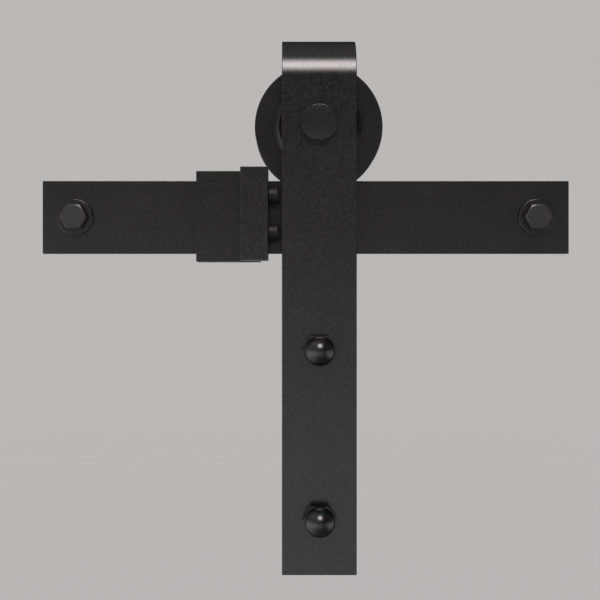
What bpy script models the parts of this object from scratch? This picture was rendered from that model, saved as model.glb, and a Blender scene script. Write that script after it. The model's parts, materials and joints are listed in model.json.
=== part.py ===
"""Sliding barn door hardware: strap hanger, flat rail and rail stop.

Metres, +Z up. +X runs along the rail to the right as seen from the room, and +Y points to
the wall. The origin is on the rail's running edge, in the rail's mid-plane, below the axle.
"""

import math

import bmesh
import bpy
from mathutils import Vector

# ---------------------------------------------------------------- driving dimensions
GAP = 0.0003                # clearance left between neighbouring pieces
FINE_EDGE = 0.0002          # broken edge of a small machined piece
EDGE = 0.0004               # broken edge of a larger piece

# Rail and its wall fixings
RAIL_LEFT = -0.152
RAIL_RIGHT = 0.138
RAIL_HEIGHT = 0.040
RAIL_THICKNESS = 0.006
FIXING_X = {"left": -0.134, "right": 0.120}
FIXING_HOLE_RADIUS = 0.0045
STANDOFF_RADIUS = 0.011
STANDOFF_LENGTH = 0.035
LAG_SHANK_RADIUS = 0.004
LAG_HEAD_FLATS = 0.013
LAG_HEAD_HEIGHT = 0.0053
LAG_WALL_DEPTH = 0.050
LAG_POINT_LENGTH = 0.009
LAG_WASHER_RADIUS = 0.010
LAG_WASHER_THICKNESS = 0.0016

# Strap hanger
STRAP_WIDTH = 0.040
STRAP_THICKNESS = 0.006
STRAP_INNER_RADIUS = 0.0165
STRAP_TOP = 0.0769
STRAP_BOTTOM = -0.2125
STRAP_REAR_END = 0.011
STRAP_EDGE = 0.0005
DOOR_THICKNESS = 0.040
DOOR_BOLT_Z = {"upper": -0.0925, "lower": -0.1825}

# Axle, its nut and its washer
AXLE_Z = 0.029
AXLE_HEAD_RADIUS = 0.0096
AXLE_HEAD_HEIGHT = 0.004
AXLE_HEAD_EDGE = 0.0006
AXLE_TAIL = 0.0363
M10_RADIUS = 0.005
M10_CHAMFER = 0.0007
M10_WASHER_RADIUS = 0.010
M10_WASHER_THICKNESS = 0.0018
LOCK_NUT_FLATS = 0.017
LOCK_NUT_HEX_HEIGHT = 0.007
LOCK_NUT_HEIGHT = 0.0098
LOCK_NUT_COLLAR_STEP = 0.0008
LOCK_NUT_COLLAR_TAPER = 0.0006
LOCK_NUT_LIP = 0.0004
NYLON_RING_RADIUS = 0.0064
NYLON_RING_WIDTH = 0.0020

# Door bolts, their dome nuts and their washers
CAP_NUT_FLATS = 0.016
CAP_NUT_HEX_HEIGHT = 0.008
CAP_NUT_NECK = 0.0011
CAP_NUT_DOME_RADIUS = 0.0079
CAP_NUT_BORE_DEPTH = 0.013
DRILL_POINT = 0.002
DOOR_WASHER_RADIUS = 0.012
DOOR_WASHER_THICKNESS = 0.002
DOOR_BOLT_HEAD_RADIUS = 0.010
DOOR_BOLT_HEAD_HEIGHT = 0.004
DOOR_BOLT_HEAD_RIM = 0.0012
DOOR_BOLT_CROWN_RADIUS = 0.0055
DOOR_BOLT_SOCKET = 0.006
DOOR_BOLT_SOCKET_DEPTH = 0.0028

# Wheel
WHEEL_RADIUS = 0.0349
WHEEL_HALF_WIDTH = 0.009
RIM_EDGE = 0.0008
GROOVE_HALF_WIDTH = 0.0036
GROOVE_FLARE = 0.0006
LIP_HEIGHT = 0.0006
LIP_FOOT_RADIUS = 0.0243
LIP_CREST_RADIUS = 0.0224
HUB_RECESS_RADIUS = 0.0213
HUB_RECESS_DEPTH = 0.0015
BEARING_SHOULDER_RADIUS = 0.013
CLIP_RADIUS = 0.016
CLIP_THICKNESS = 0.0013
CLIP_SPRING_WIDTH = 0.0024
CLIP_EAR_WIDTH = 0.0050
CLIP_EAR_HOLE_RADIUS = 0.0009
CLIP_HALF_OPENING = math.radians(14)
CLIP_EAR_SPAN = math.radians(20)

# Ball bearing
BEARING_RADIUS = 0.015
BEARING_HALF_WIDTH = 0.0045
BALL_RADIUS = 0.00238
BALL_PITCH_RADIUS = 0.010
BALL_COUNT = 8
RACE_HALF_GAP = 0.0019      # from the ball circle to each ring's land
GROOVE_RADIUS = BALL_RADIUS + GAP
RACE_ANGLE = math.acos(RACE_HALF_GAP / GROOVE_RADIUS)
SHIELD_SEAT_DEPTH = 0.0007
SHIELD_SEAT_WIDTH = 0.0011
SHIELD_THICKNESS = 0.0005
CAGE_HALF_WIDTH = 0.0031
CAGE_HALF_DEPTH = 0.0008
BUSH_RADIUS = 0.0073

# Rail stop
SLEEVE_LEFT = -0.067
SLEEVE_RIGHT = -0.032
SLEEVE_WALL = 0.0047
SLEEVE_FLOOR = 0.0042
BAR_LEFT = -0.0421
BAR_RIGHT = -0.0274
BAR_FRONT = 0.027
BAR_TOP = 0.0052
BAR_BOTTOM = -0.0443
BAR_EDGE = 0.0007
BAR_SCREW_X = -0.037
BAR_SCREW_Z = {"upper": -0.0055, "lower": -0.0335}
BAR_SCREW_RADIUS = 0.0025
BAR_SCREW_HEAD_RADIUS = 0.0045
BAR_SCREW_LENGTH = 0.0164
BAR_SCREW_CHAMFER = 0.0006
BAR_SCREW_SOCKET = 0.003
BAR_SCREW_SOCKET_DEPTH = 0.0018
GRUB_X = {"left": -0.0585, "right": -0.0405}
GRUB_RADIUS = 0.003
GRUB_RECESS = 0.0004
GRUB_CONE_RADIUS = 0.0019
GRUB_CONE_LENGTH = 0.001
GRUB_SOCKET = 0.003
GRUB_SOCKET_DEPTH = 0.0025
BUMPER_RADIUS = 0.00475
BUMPER_ROUND = 0.0012
BUMPER_FRONT = 0.0195
BUMPER_Z = {"upper": -0.0094, "lower": -0.0294}
BUMPER_END = -0.0216
STUD_RADIUS = 0.002
STUD_LEFT = -0.033
STUD_RIGHT = -0.024

# Roundness
SEGMENTS = 24
WHEEL_SEGMENTS = 48
CAGE_SEGMENTS = 32
SMALL_SEGMENTS = 16
TINY_SEGMENTS = 12
BALL_RINGS = 8
BEND_STEPS = 24
FILLET_STEPS = 1
RACE_STEPS = 4
DOME_STEPS = 8
EAR_STEPS = 3
SMOOTH_ANGLE = math.radians(32)
ON_AXIS = 1e-7              # a profile point nearer the axis than this becomes one vertex

# A turned piece is modelled about its local +Z, then turned to one of these directions.
TO_ROOM = (math.pi / 2, 0, 0)       # local +Z points to -Y, away from the wall
TO_RIGHT = (0, math.pi / 2, 0)      # local +Z points to +X
UPWARD = (0, 0, 0)

# Distances from the rail's mid-plane towards the room, which the stack-ups share
RAIL_FACE = RAIL_THICKNESS / 2
LEG_INSIDE = STRAP_INNER_RADIUS
LEG_OUTSIDE = STRAP_INNER_RADIUS + STRAP_THICKNESS
WALL_PLANE = -(RAIL_FACE + GAP + STANDOFF_LENGTH)
DOOR_BACK = LEG_INSIDE - DOOR_THICKNESS
SLEEVE_INSIDE = RAIL_FACE + GAP
SLEEVE_OUTSIDE = SLEEVE_INSIDE + SLEEVE_WALL
BEND_Z = STRAP_TOP - LEG_OUTSIDE
M10_HOLE_RADIUS = M10_RADIUS + GAP


# ---------------------------------------------------------------- materials
def make_material(name, colour, roughness, metallic):
    material = bpy.data.materials.new(name)
    material.use_nodes = True
    shader = material.node_tree.nodes["Principled BSDF"]
    shader.inputs["Base Color"].default_value = (*colour, 1)
    shader.inputs["Roughness"].default_value = roughness
    shader.inputs["Metallic"].default_value = metallic
    return material


FINISHES = {
    "black_coat": ((0.030, 0.030, 0.028), 0.48, 0.0),
    "wheel_black": ((0.024, 0.024, 0.023), 0.42, 0.0),
    "gloss_black": ((0.012, 0.012, 0.012), 0.22, 0.0),
    "rubber": ((0.020, 0.020, 0.020), 0.60, 0.0),
    "zinc": ((0.58, 0.58, 0.56), 0.35, 1.0),
    "bearing_steel": ((0.66, 0.66, 0.67), 0.18, 1.0),
    "nylon": ((0.62, 0.66, 0.72), 0.50, 0.0),
}


def finish(obj, kind):
    """Each object has a material of its own, named after it."""
    obj.data.materials.append(make_material(obj.name + "_" + kind, *FINISHES[kind]))
    return obj


# ---------------------------------------------------------------- modelling helpers
def clear_scene():
    for obj in list(bpy.data.objects):
        bpy.data.objects.remove(obj, do_unlink=True)


def make_pivot(name, location):
    pivot = bpy.data.objects.new(name, None)
    pivot.location = location
    bpy.context.scene.collection.objects.link(pivot)
    return pivot


def hex_corner(flats):
    """Distance from a hexagon's centre to its corners."""
    return flats / 2 / math.cos(math.pi / 6)


def hex_chamfer(flats):
    """Height of the 30 degree chamfer that turns a hexagon's corners down to its flats."""
    return (hex_corner(flats) - flats / 2) * math.tan(math.pi / 6)


def add_object(name, bm, location=(0, 0, 0), rotation=(0, 0, 0), parent=None):
    bmesh.ops.recalc_face_normals(bm, faces=bm.faces)
    mesh = bpy.data.meshes.new(name)
    bm.to_mesh(mesh)
    bm.free()
    mesh.shade_smooth()
    mesh.set_sharp_from_angle(angle=SMOOTH_ANGLE)
    obj = bpy.data.objects.new(name, mesh)
    bpy.context.scene.collection.objects.link(obj)
    obj.parent = parent
    obj.location = Vector(location) - (parent.location if parent else Vector())
    obj.rotation_euler = rotation
    return obj


def fillet(corners, steps=FILLET_STEPS):
    """Outline points from corners (x, y, radius): a corner with a radius becomes an arc."""
    outline = []
    for i, (x, y, radius) in enumerate(corners):
        corner = Vector((x, y))
        if radius == 0:
            outline.append(corner)
            continue
        before = (Vector(corners[i - 1][:2]) - corner).normalized()
        after = (Vector(corners[(i + 1) % len(corners)][:2]) - corner).normalized()
        half = before.angle(after) / 2
        centre = corner + (before + after).normalized() * (radius / math.sin(half))
        first = corner + before * (radius / math.tan(half)) - centre
        last = corner + after * (radius / math.tan(half)) - centre
        turn = first.angle_signed(last)
        for step in range(steps + 1):
            angle = -turn * step / steps
            spoke = Vector((
                first.x * math.cos(angle) - first.y * math.sin(angle),
                first.x * math.sin(angle) + first.y * math.cos(angle),
            ))
            outline.append(centre + spoke)
    return outline


def arc(centre_r, centre_f, radius, start, end, steps):
    """Corners along an arc, from start to end in radians, for use in a profile."""
    angles = [start + (end - start) * i / steps for i in range(steps + 1)]
    return [
        (centre_r + radius * math.cos(a), centre_f + radius * math.sin(a), 0)
        for a in angles
    ]


def turned_mesh(corners, segments):
    """Closed surface swept round local Z by a profile of (radius, height, fillet) corners."""
    bm = bmesh.new()
    rings = []
    for point in fillet(corners):
        on_axis = point.x < ON_AXIS
        count = 1 if on_axis else segments
        rings.append([
            bm.verts.new((
                point.x * math.cos(2 * math.pi * i / segments),
                point.x * math.sin(2 * math.pi * i / segments),
                point.y,
            ))
            for i in range(count)
        ])
    for ring, following in zip(rings, rings[1:] + rings[:1]):
        if len(ring) == 1 and len(following) == 1:
            continue
        for i in range(segments):
            j = (i + 1) % segments
            if len(ring) == 1:
                bm.faces.new((ring[0], following[i], following[j]))
            elif len(following) == 1:
                bm.faces.new((ring[i], ring[j], following[0]))
            else:
                bm.faces.new((ring[i], ring[j], following[j], following[i]))
    return bm


def turned(name, corners, kind, location, rotation=TO_ROOM, parent=None, segments=SEGMENTS):
    bm = turned_mesh(corners, segments)
    return finish(add_object(name, bm, location, rotation, parent), kind)


def ring_corners(inner, outer, low, high, edge=0.0):
    """A plain ring, such as a washer, bush or tube, with its outer edges broken."""
    return [(inner, low, 0), (outer, low, edge), (outer, high, edge), (inner, high, 0)]


def extruded_mesh(outline, depth):
    """Prism of a closed outline in local XY, from z = 0 to z = depth."""
    bm = bmesh.new()
    low = bm.faces.new([bm.verts.new((p.x, p.y, 0)) for p in outline])
    grown = bmesh.ops.extrude_face_region(bm, geom=[low])
    raised = [item for item in grown["geom"] if isinstance(item, bmesh.types.BMVert)]
    bmesh.ops.translate(bm, verts=raised, vec=(0, 0, depth))
    return bm


def box_mesh(low, high):
    bm = bmesh.new()
    bmesh.ops.create_cube(bm, size=1)
    size = Vector(high) - Vector(low)
    middle = (Vector(high) + Vector(low)) / 2
    bmesh.ops.scale(bm, vec=size, verts=bm.verts)
    bmesh.ops.translate(bm, vec=middle, verts=bm.verts)
    return bm


def box(name, low, high, kind, edge):
    obj = finish(add_object(name, box_mesh(low, high)), kind)
    soften(obj, edge)
    return obj


def soften(obj, width):
    bevel = obj.modifiers.new("edge", "BEVEL")
    bevel.width = width
    bevel.segments = FILLET_STEPS
    bevel.limit_method = "ANGLE"
    bevel.angle_limit = SMOOTH_ANGLE


def as_cutter(obj):
    obj.hide_render = True
    obj.display_type = "WIRE"
    return obj


def combine(obj, cutter, operation="DIFFERENCE"):
    boolean = obj.modifiers.new(cutter.name, "BOOLEAN")
    boolean.operation = operation
    boolean.solver = "EXACT"
    boolean.object = cutter


def drill(obj, label, radius, start, end, location, rotation, segments=SEGMENTS):
    """Cuts a round hole along local Z from start to end."""
    corners = [(0, start, 0), (radius, start, 0), (radius, end, 0), (0, end, 0)]
    bm = turned_mesh(corners, segments)
    name = obj.name + "_cut_" + label
    combine(obj, as_cutter(add_object(name, bm, location, rotation, obj.parent)))


def hex_tool(name, flats, start, end, location, rotation, parent):
    """Hexagonal prism along local Z with two corners on the local X axis."""
    corner = hex_corner(flats)
    outline = [
        Vector((corner * math.cos(i * math.pi / 3), corner * math.sin(i * math.pi / 3)))
        for i in range(6)
    ]
    bm = extruded_mesh(outline, end - start)
    bmesh.ops.translate(bm, verts=bm.verts, vec=(0, 0, start))
    return as_cutter(add_object(name, bm, location, rotation, parent))


def cut_socket(obj, flats, start, end, location, rotation):
    name = obj.name + "_socket"
    tool = hex_tool(name, flats, start, end, location, rotation, obj.parent)
    combine(obj, tool)


def trim_to_hex(obj, flats, start, end, location, rotation):
    name = obj.name + "_hex"
    tool = hex_tool(name, flats, start, end, location, rotation, obj.parent)
    combine(obj, tool, "INTERSECT")


# ---------------------------------------------------------------- rail and wall fixings
def build_rail():
    rail = box(
        "rail",
        (RAIL_LEFT, -RAIL_FACE, -RAIL_HEIGHT),
        (RAIL_RIGHT, RAIL_FACE, 0),
        "black_coat",
        EDGE,
    )
    reach = RAIL_THICKNESS
    for side, x in FIXING_X.items():
        drill(rail, side, FIXING_HOLE_RADIUS, -reach, reach, (x, 0, -RAIL_HEIGHT / 2), TO_ROOM)


def build_wall_fixing(side, x):
    """Standoff behind the rail, washer in front of it and the lag bolt through all three."""
    place = (x, 0, -RAIL_HEIGHT / 2)
    tube = ring_corners(FIXING_HOLE_RADIUS, STANDOFF_RADIUS, WALL_PLANE, -RAIL_FACE - GAP, EDGE)
    turned("standoff_" + side, tube, "black_coat", place)

    washer_back = RAIL_FACE + GAP
    washer_front = washer_back + LAG_WASHER_THICKNESS
    hole = LAG_SHANK_RADIUS + GAP
    washer = ring_corners(hole, LAG_WASHER_RADIUS, washer_back, washer_front, FINE_EDGE)
    turned("lag_washer_" + side, washer, "black_coat", place)

    head_back = washer_front + GAP
    head_front = head_back + LAG_HEAD_HEIGHT
    corner = hex_corner(LAG_HEAD_FLATS)
    tip = WALL_PLANE - LAG_WALL_DEPTH
    profile = [
        (0, tip, 0),
        (LAG_SHANK_RADIUS, tip + LAG_POINT_LENGTH, 0),
        (LAG_SHANK_RADIUS, head_back, 0),
        (corner, head_back, 0),
        (corner, head_front - hex_chamfer(LAG_HEAD_FLATS), 0),
        (LAG_HEAD_FLATS / 2, head_front, 0),
        (0, head_front, 0),
    ]
    bolt = turned("lag_bolt_" + side, profile, "black_coat", place)
    trim_to_hex(bolt, LAG_HEAD_FLATS, tip - GAP, head_front + GAP, place, TO_ROOM)


# ---------------------------------------------------------------- rail stop
def build_stop_sleeve():
    sleeve = box(
        "stop_sleeve",
        (SLEEVE_LEFT, -SLEEVE_OUTSIDE, -RAIL_HEIGHT - GAP - SLEEVE_FLOOR),
        (SLEEVE_RIGHT, SLEEVE_OUTSIDE, GAP + SLEEVE_WALL),
        "black_coat",
        EDGE,
    )
    channel = box_mesh(
        (SLEEVE_LEFT - SLEEVE_WALL, -SLEEVE_INSIDE, -RAIL_HEIGHT - GAP),
        (SLEEVE_RIGHT + SLEEVE_WALL, SLEEVE_INSIDE, GAP),
    )
    combine(sleeve, as_cutter(add_object("stop_sleeve_channel", channel)))
    for side, x in GRUB_X.items():
        build_grub_screw(sleeve, side, x)
    for level, z in BAR_SCREW_Z.items():
        cut_countersink(sleeve, level, z)


def build_grub_screw(sleeve, side, x):
    """Set screw in the sleeve's floor, whose tip bears on the rail's lower edge."""
    high = -RAIL_HEIGHT - GAP
    low = high - SLEEVE_FLOOR + GRUB_RECESS
    place = (x, 0, 0)
    hole = GRUB_RADIUS + GAP
    drill(sleeve, "grub_" + side, hole, low - SLEEVE_FLOOR, high + GAP, place, UPWARD, SMALL_SEGMENTS)
    profile = [
        (0, low, 0),
        (GRUB_RADIUS, low, FINE_EDGE),
        (GRUB_RADIUS, high - GRUB_CONE_LENGTH, 0),
        (GRUB_CONE_RADIUS, high, 0),
        (0, high, 0),
    ]
    name = "stop_grub_screw_" + side
    screw = turned(name, profile, "zinc", place, UPWARD, segments=SMALL_SEGMENTS)
    cut_socket(screw, GRUB_SOCKET, low - GAP, low + GRUB_SOCKET_DEPTH, place, UPWARD)


def cut_countersink(sleeve, level, z):
    """Countersunk hole in the sleeve's front wall, open to the rail side."""
    mouth = BAR_SCREW_HEAD_RADIUS + 4 * GAP
    neck = BAR_SCREW_RADIUS + GAP
    cone_end = SLEEVE_INSIDE + BAR_SCREW_HEAD_RADIUS - BAR_SCREW_RADIUS + GAP
    corners = [
        (0, SLEEVE_INSIDE - 2 * GAP, 0),
        (mouth, SLEEVE_INSIDE - 2 * GAP, 0),
        (neck, cone_end, 0),
        (neck, SLEEVE_OUTSIDE + SLEEVE_WALL, 0),
        (0, SLEEVE_OUTSIDE + SLEEVE_WALL, 0),
    ]
    bm = turned_mesh(corners, SMALL_SEGMENTS)
    place = (BAR_SCREW_X, 0, z)
    combine(sleeve, as_cutter(add_object("stop_sleeve_countersink_" + level, bm, place, TO_ROOM)))


def build_bar_screw(bar, level, z):
    """Countersunk screw from inside the sleeve into the back of the stop bar."""
    place = (BAR_SCREW_X, 0, z)
    face = SLEEVE_INSIDE + GAP
    tip = face + BAR_SCREW_LENGTH
    hole = BAR_SCREW_RADIUS + GAP
    drill(bar, "screw_" + level, hole, 0, tip + 3 * GAP, place, TO_ROOM, SMALL_SEGMENTS)
    profile = [
        (0, face, 0),
        (BAR_SCREW_HEAD_RADIUS, face, 0),
        (BAR_SCREW_RADIUS, face + BAR_SCREW_HEAD_RADIUS - BAR_SCREW_RADIUS, 0),
        (BAR_SCREW_RADIUS, tip - BAR_SCREW_CHAMFER, 0),
        (BAR_SCREW_RADIUS - BAR_SCREW_CHAMFER, tip, 0),
        (0, tip, 0),
    ]
    screw = turned("stop_bar_screw_" + level, profile, "zinc", place, segments=SMALL_SEGMENTS)
    cut_socket(screw, BAR_SCREW_SOCKET, face - GAP, face + BAR_SCREW_SOCKET_DEPTH, place, TO_ROOM)


def build_bumper(bar, level, z):
    """Rubber bumper on a threaded stud that stands out of the stop bar's right side."""
    place = (0, -BUMPER_FRONT, z)
    hole = STUD_RADIUS + GAP
    seat = BAR_RIGHT + GAP
    drill(bar, "stud_" + level, hole, STUD_LEFT - GAP, seat, place, TO_RIGHT, SMALL_SEGMENTS)
    stud = [
        (0, STUD_LEFT, 0),
        (STUD_RADIUS, STUD_LEFT, EDGE),
        (STUD_RADIUS, STUD_RIGHT, EDGE),
        (0, STUD_RIGHT, 0),
    ]
    turned("bumper_stud_" + level, stud, "zinc", place, TO_RIGHT, segments=SMALL_SEGMENTS)
    rubber = [
        (hole, seat, 0),
        (BUMPER_RADIUS, seat, EDGE),
        (BUMPER_RADIUS, BUMPER_END, BUMPER_ROUND),
        (0, BUMPER_END, 0),
        (0, STUD_RIGHT + GAP, 0),
        (hole, STUD_RIGHT + GAP, 0),
    ]
    turned("bumper_" + level, rubber, "rubber", place, TO_RIGHT)


def build_stop_bar():
    bar = box(
        "stop_bar",
        (BAR_LEFT, -BAR_FRONT, BAR_BOTTOM),
        (BAR_RIGHT, -SLEEVE_OUTSIDE - GAP, BAR_TOP),
        "black_coat",
        BAR_EDGE,
    )
    for level, z in BAR_SCREW_Z.items():
        build_bar_screw(bar, level, z)
    for level, z in BUMPER_Z.items():
        build_bumper(bar, level, z)


# ---------------------------------------------------------------- strap hanger
def strap_outline():
    """The bent bar seen from its side: x is the distance to the room, y is the height."""
    corners = [(LEG_OUTSIDE, STRAP_BOTTOM, 0)]
    corners += arc(0, BEND_Z, LEG_OUTSIDE, 0, math.pi, BEND_STEPS)
    corners += [(-LEG_OUTSIDE, STRAP_REAR_END, 0), (-LEG_INSIDE, STRAP_REAR_END, 0)]
    corners += arc(0, BEND_Z, LEG_INSIDE, math.pi, 0, BEND_STEPS)
    corners += [(LEG_INSIDE, STRAP_BOTTOM, 0)]
    return [Vector((x, y)) for x, y, radius in corners]


def build_strap(hanger):
    bm = extruded_mesh(strap_outline(), STRAP_WIDTH)
    for vert in bm.verts:
        to_room, height, across = vert.co
        vert.co = (across - STRAP_WIDTH / 2, -to_room, height - AXLE_Z)
    strap = finish(add_object("strap", bm, (0, 0, AXLE_Z), parent=hanger), "black_coat")
    soften(strap, STRAP_EDGE)
    beyond = LEG_OUTSIDE + STRAP_THICKNESS
    drill(strap, "axle", M10_HOLE_RADIUS, -beyond, beyond, (0, 0, AXLE_Z), TO_ROOM)
    for level, z in DOOR_BOLT_Z.items():
        drill(strap, level, M10_HOLE_RADIUS, 0, beyond, (0, 0, z), TO_ROOM)


def build_axle(hanger):
    place = (0, 0, AXLE_Z)
    seat = LEG_OUTSIDE + GAP
    bolt = [
        (0, -AXLE_TAIL, 0),
        (M10_RADIUS, -AXLE_TAIL, M10_CHAMFER),
        (M10_RADIUS, seat, 0),
        (AXLE_HEAD_RADIUS, seat, FINE_EDGE),
        (AXLE_HEAD_RADIUS, seat + AXLE_HEAD_HEIGHT, AXLE_HEAD_EDGE),
        (0, seat + AXLE_HEAD_HEIGHT, 0),
    ]
    turned("axle_bolt", bolt, "black_coat", place, parent=hanger)

    washer_front = -seat
    washer_back = washer_front - M10_WASHER_THICKNESS
    washer = ring_corners(M10_HOLE_RADIUS, M10_WASHER_RADIUS, washer_back, washer_front, FINE_EDGE)
    turned("axle_washer", washer, "zinc", place, parent=hanger)
    build_lock_nut(hanger, place, washer_back - GAP)

    for side, sign in (("front", 1), ("rear", -1)):
        near = sign * (BEARING_HALF_WIDTH + GAP)
        far = sign * (LEG_INSIDE - GAP)
        bush = ring_corners(M10_HOLE_RADIUS, BUSH_RADIUS, min(near, far), max(near, far), FINE_EDGE)
        turned("axle_bush_" + side, bush, "zinc", place, parent=hanger)


def build_lock_nut(hanger, place, front):
    """Hexagon nut with a round collar that holds a nylon ring."""
    hex_back = front - LOCK_NUT_HEX_HEIGHT
    collar_back = front - LOCK_NUT_HEIGHT
    flat = LOCK_NUT_FLATS / 2
    corner = hex_corner(LOCK_NUT_FLATS)
    slope = hex_chamfer(LOCK_NUT_FLATS)
    collar = flat - LOCK_NUT_COLLAR_STEP
    ring_back = collar_back + LOCK_NUT_LIP
    ring_front = ring_back + NYLON_RING_WIDTH
    profile = [
        (M10_HOLE_RADIUS, front, 0),
        (flat, front, 0),
        (corner, front - slope, 0),
        (corner, hex_back + slope, 0),
        (flat, hex_back, 0),
        (collar, hex_back, 0),
        (collar - LOCK_NUT_COLLAR_TAPER, collar_back, EDGE),
        (NYLON_RING_RADIUS + GAP, collar_back, 0),
        (NYLON_RING_RADIUS + GAP, ring_front + GAP, 0),
        (M10_HOLE_RADIUS, ring_front + GAP, 0),
    ]
    nut = turned("axle_lock_nut", profile, "zinc", place, parent=hanger)
    trim_to_hex(nut, LOCK_NUT_FLATS, collar_back - GAP, front + GAP, place, TO_ROOM)
    nylon = ring_corners(M10_HOLE_RADIUS, NYLON_RING_RADIUS, ring_back, ring_front, FINE_EDGE)
    turned("axle_nut_nylon_ring", nylon, "nylon", place, parent=hanger)


def build_cap_nut(hanger, level, place):
    """Dome nut on the strap's front: a hexagon, a short neck and a half-round dome."""
    seat = LEG_OUTSIDE + GAP
    flat = CAP_NUT_FLATS / 2
    corner = hex_corner(CAP_NUT_FLATS)
    slope = hex_chamfer(CAP_NUT_FLATS)
    hex_front = seat + CAP_NUT_HEX_HEIGHT
    dome_base = hex_front + CAP_NUT_NECK
    dome_top = dome_base + CAP_NUT_DOME_RADIUS
    bore_end = seat + CAP_NUT_BORE_DEPTH
    dome = arc(0, dome_base, CAP_NUT_DOME_RADIUS, 0, math.pi / 2, DOME_STEPS)
    profile = [
        (M10_HOLE_RADIUS, seat, 0),
        (flat, seat, 0),
        (corner, seat + slope, 0),
        (corner, hex_front - slope, 0),
        (flat, hex_front, 0),
        (CAP_NUT_DOME_RADIUS, hex_front, 0),
    ]
    profile += dome[:-1]
    profile += [(0, dome_top, 0), (0, bore_end + DRILL_POINT, 0), (M10_HOLE_RADIUS, bore_end, 0)]
    nut = turned("cap_nut_" + level, profile, "gloss_black", place, parent=hanger)
    trim_to_hex(nut, CAP_NUT_FLATS, seat - GAP, dome_top + GAP, place, TO_ROOM)


def build_door_bolt(hanger, level, place):
    """Washer behind the door, and the bolt that passes through it and the door to the nut."""
    washer_front = DOOR_BACK - GAP
    washer_back = washer_front - DOOR_WASHER_THICKNESS
    washer = ring_corners(M10_HOLE_RADIUS, DOOR_WASHER_RADIUS, washer_back, washer_front, FINE_EDGE)
    turned("door_washer_" + level, washer, "black_coat", place, parent=hanger)

    head_front = washer_back - GAP
    head_back = head_front - DOOR_BOLT_HEAD_HEIGHT
    tip = LEG_OUTSIDE + CAP_NUT_BORE_DEPTH - M10_CHAMFER
    bolt = [
        (0, head_back, 0),
        (DOOR_BOLT_CROWN_RADIUS, head_back, M10_CHAMFER),
        (DOOR_BOLT_HEAD_RADIUS, head_front - DOOR_BOLT_HEAD_RIM, EDGE),
        (DOOR_BOLT_HEAD_RADIUS, head_front, FINE_EDGE),
        (M10_RADIUS, head_front, 0),
        (M10_RADIUS, tip, M10_CHAMFER),
        (0, tip, 0),
    ]
    screw = turned("door_bolt_" + level, bolt, "black_coat", place, parent=hanger)
    socket_end = head_back + DOOR_BOLT_SOCKET_DEPTH
    cut_socket(screw, DOOR_BOLT_SOCKET, head_back - GAP, socket_end, place, TO_ROOM)


# ---------------------------------------------------------------- wheel and bearing
def wheel_side(sign):
    """Corners of one flange, from the groove out over the rim and in to the hub's recess."""
    face = WHEEL_HALF_WIDTH
    crest = WHEEL_HALF_WIDTH + LIP_HEIGHT
    floor = WHEEL_HALF_WIDTH - HUB_RECESS_DEPTH
    corners = [
        (AXLE_Z - GAP, GROOVE_HALF_WIDTH, GROOVE_FLARE),
        (WHEEL_RADIUS, GROOVE_HALF_WIDTH + GROOVE_FLARE, RIM_EDGE),
        (WHEEL_RADIUS, face, RIM_EDGE),
        (LIP_FOOT_RADIUS, face, RIM_EDGE),
        (LIP_CREST_RADIUS, crest, EDGE),
        (HUB_RECESS_RADIUS, crest, EDGE),
        (HUB_RECESS_RADIUS, floor, EDGE),
    ]
    return [(r, sign * f, edge) for r, f, edge in corners]


def build_wheel(wheel_pivot):
    place = (0, 0, AXLE_Z)
    floor = WHEEL_HALF_WIDTH - HUB_RECESS_DEPTH
    bore = BEARING_RADIUS + GAP
    bearing_seat = BEARING_HALF_WIDTH + GAP
    clip_front = -bearing_seat
    clip_back = clip_front - CLIP_THICKNESS
    profile = wheel_side(1)
    profile += [
        (BEARING_SHOULDER_RADIUS, floor, EDGE),
        (BEARING_SHOULDER_RADIUS, bearing_seat, 0),
        (bore, bearing_seat, 0),
        (bore, clip_front + GAP, 0),
        (CLIP_RADIUS + GAP, clip_front + GAP, 0),
        (CLIP_RADIUS + GAP, clip_back - GAP, 0),
        (bore, clip_back - GAP, 0),
        (bore, -floor, EDGE),
    ]
    profile += list(reversed(wheel_side(-1)))
    turned("wheel", profile, "wheel_black", place, parent=wheel_pivot, segments=WHEEL_SEGMENTS)
    build_circlip(wheel_pivot, place, clip_front, clip_back)
    build_outer_race(wheel_pivot, place)


def build_circlip(wheel_pivot, place, front, back):
    """Open retaining ring with an eared end on each side of its gap."""
    inner = CLIP_RADIUS - CLIP_SPRING_WIDTH
    ear = CLIP_RADIUS - CLIP_EAR_WIDTH
    start = CLIP_HALF_OPENING
    end = 2 * math.pi - CLIP_HALF_OPENING
    outer_arc = arc(0, 0, CLIP_RADIUS, start, end, SEGMENTS)
    ear_after = arc(0, 0, ear, end, end - CLIP_EAR_SPAN, EAR_STEPS)
    inner_arc = arc(0, 0, inner, end - CLIP_EAR_SPAN, start + CLIP_EAR_SPAN, SEGMENTS)
    ear_before = arc(0, 0, ear, start + CLIP_EAR_SPAN, start, EAR_STEPS)
    corners = outer_arc + ear_after + inner_arc + ear_before
    bm = extruded_mesh([Vector((x, y)) for x, y, radius in corners], front - back)
    bmesh.ops.translate(bm, verts=bm.verts, vec=(0, 0, back))
    clip = finish(add_object("circlip", bm, place, TO_ROOM, wheel_pivot), "zinc")
    reach = (ear + CLIP_RADIUS) / 2
    for label, angle in (("first", start + CLIP_EAR_SPAN / 2), ("second", end - CLIP_EAR_SPAN / 2)):
        spot = (place[0] + reach * math.cos(angle), place[1], place[2] + reach * math.sin(angle))
        drill(clip, label, CLIP_EAR_HOLE_RADIUS, back - GAP, front + GAP, spot, TO_ROOM, TINY_SEGMENTS)


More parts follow.
